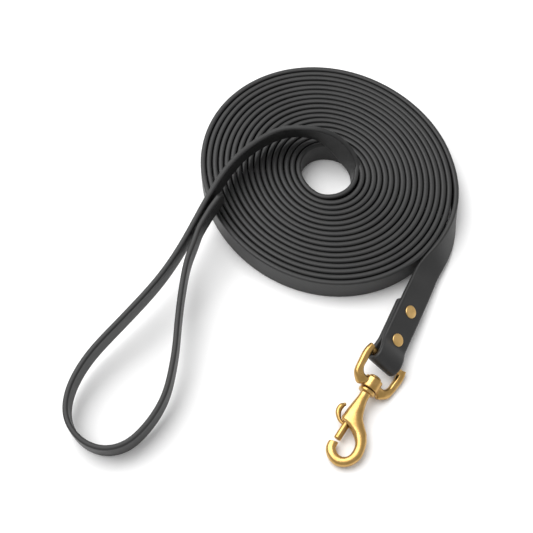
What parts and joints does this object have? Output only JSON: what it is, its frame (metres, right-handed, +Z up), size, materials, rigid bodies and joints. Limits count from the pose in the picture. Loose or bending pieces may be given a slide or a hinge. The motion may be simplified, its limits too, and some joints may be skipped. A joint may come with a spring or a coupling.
{
  "type": "training leash",
  "caption": "Long flat strap wound on edge into a flat coil, with a hand loop at the inner end and a swivelling bolt snap riveted on at the outer end.",
  "frame": {"origin": "centre of the leash's bounding box, on the floor it lies on", "axes": "+Z up through the flat coil; the coil's centre towards +Y, the hand loop reaches to -X and -Y, the snap to -Y"},
  "size_m": [0.1834, 0.2084, 0.0295],
  "materials": {
    "strap": "black coated webbing, satin",
    "thread": "black bonded thread",
    "brass": "polished cast brass",
    "spring_steel": "bright wire"
  },
  "bodies": {
    "strap": {"strap_coil": "strap", "strap_tail": "strap", "snap_end_fold": "strap", "handle_riser": "strap", "handle_loop": "strap", "lap_stitching_1": "thread", "lap_stitching_2": "thread", "rivet_1_cap": "brass", "rivet_1_back": "brass", "rivet_2_cap": "brass", "rivet_2_back": "brass"},
    "bow": {"swivel_bow": "brass"},
    "hook": {"hook_body": "brass", "bolt_spring": "spring_steel"},
    "plunger": {"bolt": "brass", "thumb_lever": "brass"}
  },
  "joints": [
    {"name": "bow_tilt", "type": "hinge", "parent": "strap", "child": "bow", "pos_m": [0.05163, -0.05637, 0.0089], "axis": [0.7062, -0.3741, -0.6011], "range_deg": [-120, 110]},
    {"name": "hook_swivel", "type": "hinge", "parent": "bow", "child": "hook", "pos_m": [0.0446, -0.0672, 0.00737], "axis": [-0.541, -0.8328, -0.1173], "continuous": true},
    {"name": "bolt_slide", "type": "slide", "parent": "hook", "child": "plunger", "axis": [0.541, 0.8328, 0.1173], "range_m": [0, 0.0076], "stiffness_N_per_m": 300, "springref_m": -0.004, "deforming": ["bolt_spring"]}
  ]
}
